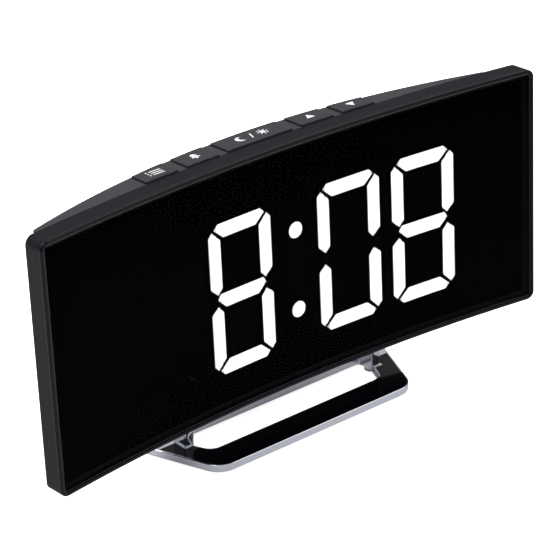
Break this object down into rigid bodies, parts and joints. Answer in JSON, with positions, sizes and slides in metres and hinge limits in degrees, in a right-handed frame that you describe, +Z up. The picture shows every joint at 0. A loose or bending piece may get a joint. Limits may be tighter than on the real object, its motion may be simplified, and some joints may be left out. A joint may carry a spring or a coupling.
{
  "type": "alarm clock",
  "caption": "Curved-screen LED alarm clock with a smoked front, white seven-segment digits, a row of top buttons, a back-up cell door and a low ring stand.",
  "frame": {"origin": "centre of the overall footprint, on the surface the feet stand on", "axes": "+X along the width to the viewer's right, +Y towards the back, +Z up"},
  "size_m": [0.187, 0.0336, 0.0909],
  "materials": {
    "bezel_plastic": "fine satin texture",
    "cover_plastic": "fine satin texture",
    "button_plastic": "satin",
    "smoked_acrylic": "polished",
    "black_mask": "flat black",
    "lit_diffuser": "glowing white",
    "unlit_diffuser": "tinted dark",
    "white_plastic": "moulded white",
    "circuit_board": "solder mask",
    "lamp_resin": "clear yellow resin",
    "steel_screw": "zinc plated",
    "black_component": "moulded",
    "can_metal": "drawn can",
    "spring_steel": "nickel plated",
    "cell_steel": "polished",
    "flat_cable": "grey film",
    "stand_chrome": "bright plated",
    "inlay_gloss": "piano black",
    "foot_rubber": "soft"
  },
  "bodies": {
    "clock": {"back_up_cell": "cell_steel", "board_screws": "steel_screw", "buzzer": "black_component", "capacitors": "can_metal", "case_screws": "steel_screw", "cell_contact": "spring_steel", "cell_holder": "black_component", "clock_crystal": "can_metal", "controller_chip": "black_component", "dark_segments": "unlit_diffuser", "display_board": "circuit_board", "display_leds": "lamp_resin", "driver_chip": "black_component", "front_bezel": "bezel_plastic", "front_lens": "smoked_acrylic", "light_box": "white_plastic", "lit_segments": "lit_diffuser", "power_socket_insert": "black_component", "power_socket_shell": "spring_steel", "rear_cover": "cover_plastic", "ribbon_cable": "flat_cable", "ribbon_sockets": "white_plastic", "segment_mask": "black_mask", "stand_base": "stand_chrome", "stand_feet": "foot_rubber", "stand_inlay": "inlay_gloss", "stand_screws": "steel_screw", "switch_board": "circuit_board", "tact_switches": "black_component"},
    "mode_key": {"mode_button": "button_plastic", "mode_plunger": "black_component"},
    "alarm_key": {"alarm_button": "button_plastic", "alarm_plunger": "black_component"},
    "snooze_light_key": {"snooze_light_button": "button_plastic", "snooze_light_plunger": "black_component"},
    "up_key": {"up_button": "button_plastic", "up_plunger": "black_component"},
    "down_key": {"down_button": "button_plastic", "down_plunger": "black_component"},
    "door": {"cell_door": "cover_plastic"}
  },
  "joints": [
    {"name": "mode_press", "type": "slide", "parent": "clock", "child": "mode_key", "axis": [0, -0.0645, -0.9979], "range_m": [0, 0.0005], "stiffness_N_per_m": 1500, "springref_m": -0.0004},
    {"name": "alarm_press", "type": "slide", "parent": "clock", "child": "alarm_key", "axis": [0, -0.0645, -0.9979], "range_m": [0, 0.0005], "stiffness_N_per_m": 1500, "springref_m": -0.0004},
    {"name": "snooze_light_press", "type": "slide", "parent": "clock", "child": "snooze_light_key", "axis": [0, -0.0645, -0.9979], "range_m": [0, 0.0005], "stiffness_N_per_m": 1500, "springref_m": -0.0004},
    {"name": "up_press", "type": "slide", "parent": "clock", "child": "up_key", "axis": [0, -0.0645, -0.9979], "range_m": [0, 0.0005], "stiffness_N_per_m": 1500, "springref_m": -0.0004},
    {"name": "down_press", "type": "slide", "parent": "clock", "child": "down_key", "axis": [0, -0.0645, -0.9979], "range_m": [0, 0.0005], "stiffness_N_per_m": 1500, "springref_m": -0.0004},
    {"name": "door_slide", "type": "slide", "parent": "clock", "child": "door", "axis": [0, -0.0645, -0.9979], "range_m": [0, 0.006]}
  ]
}
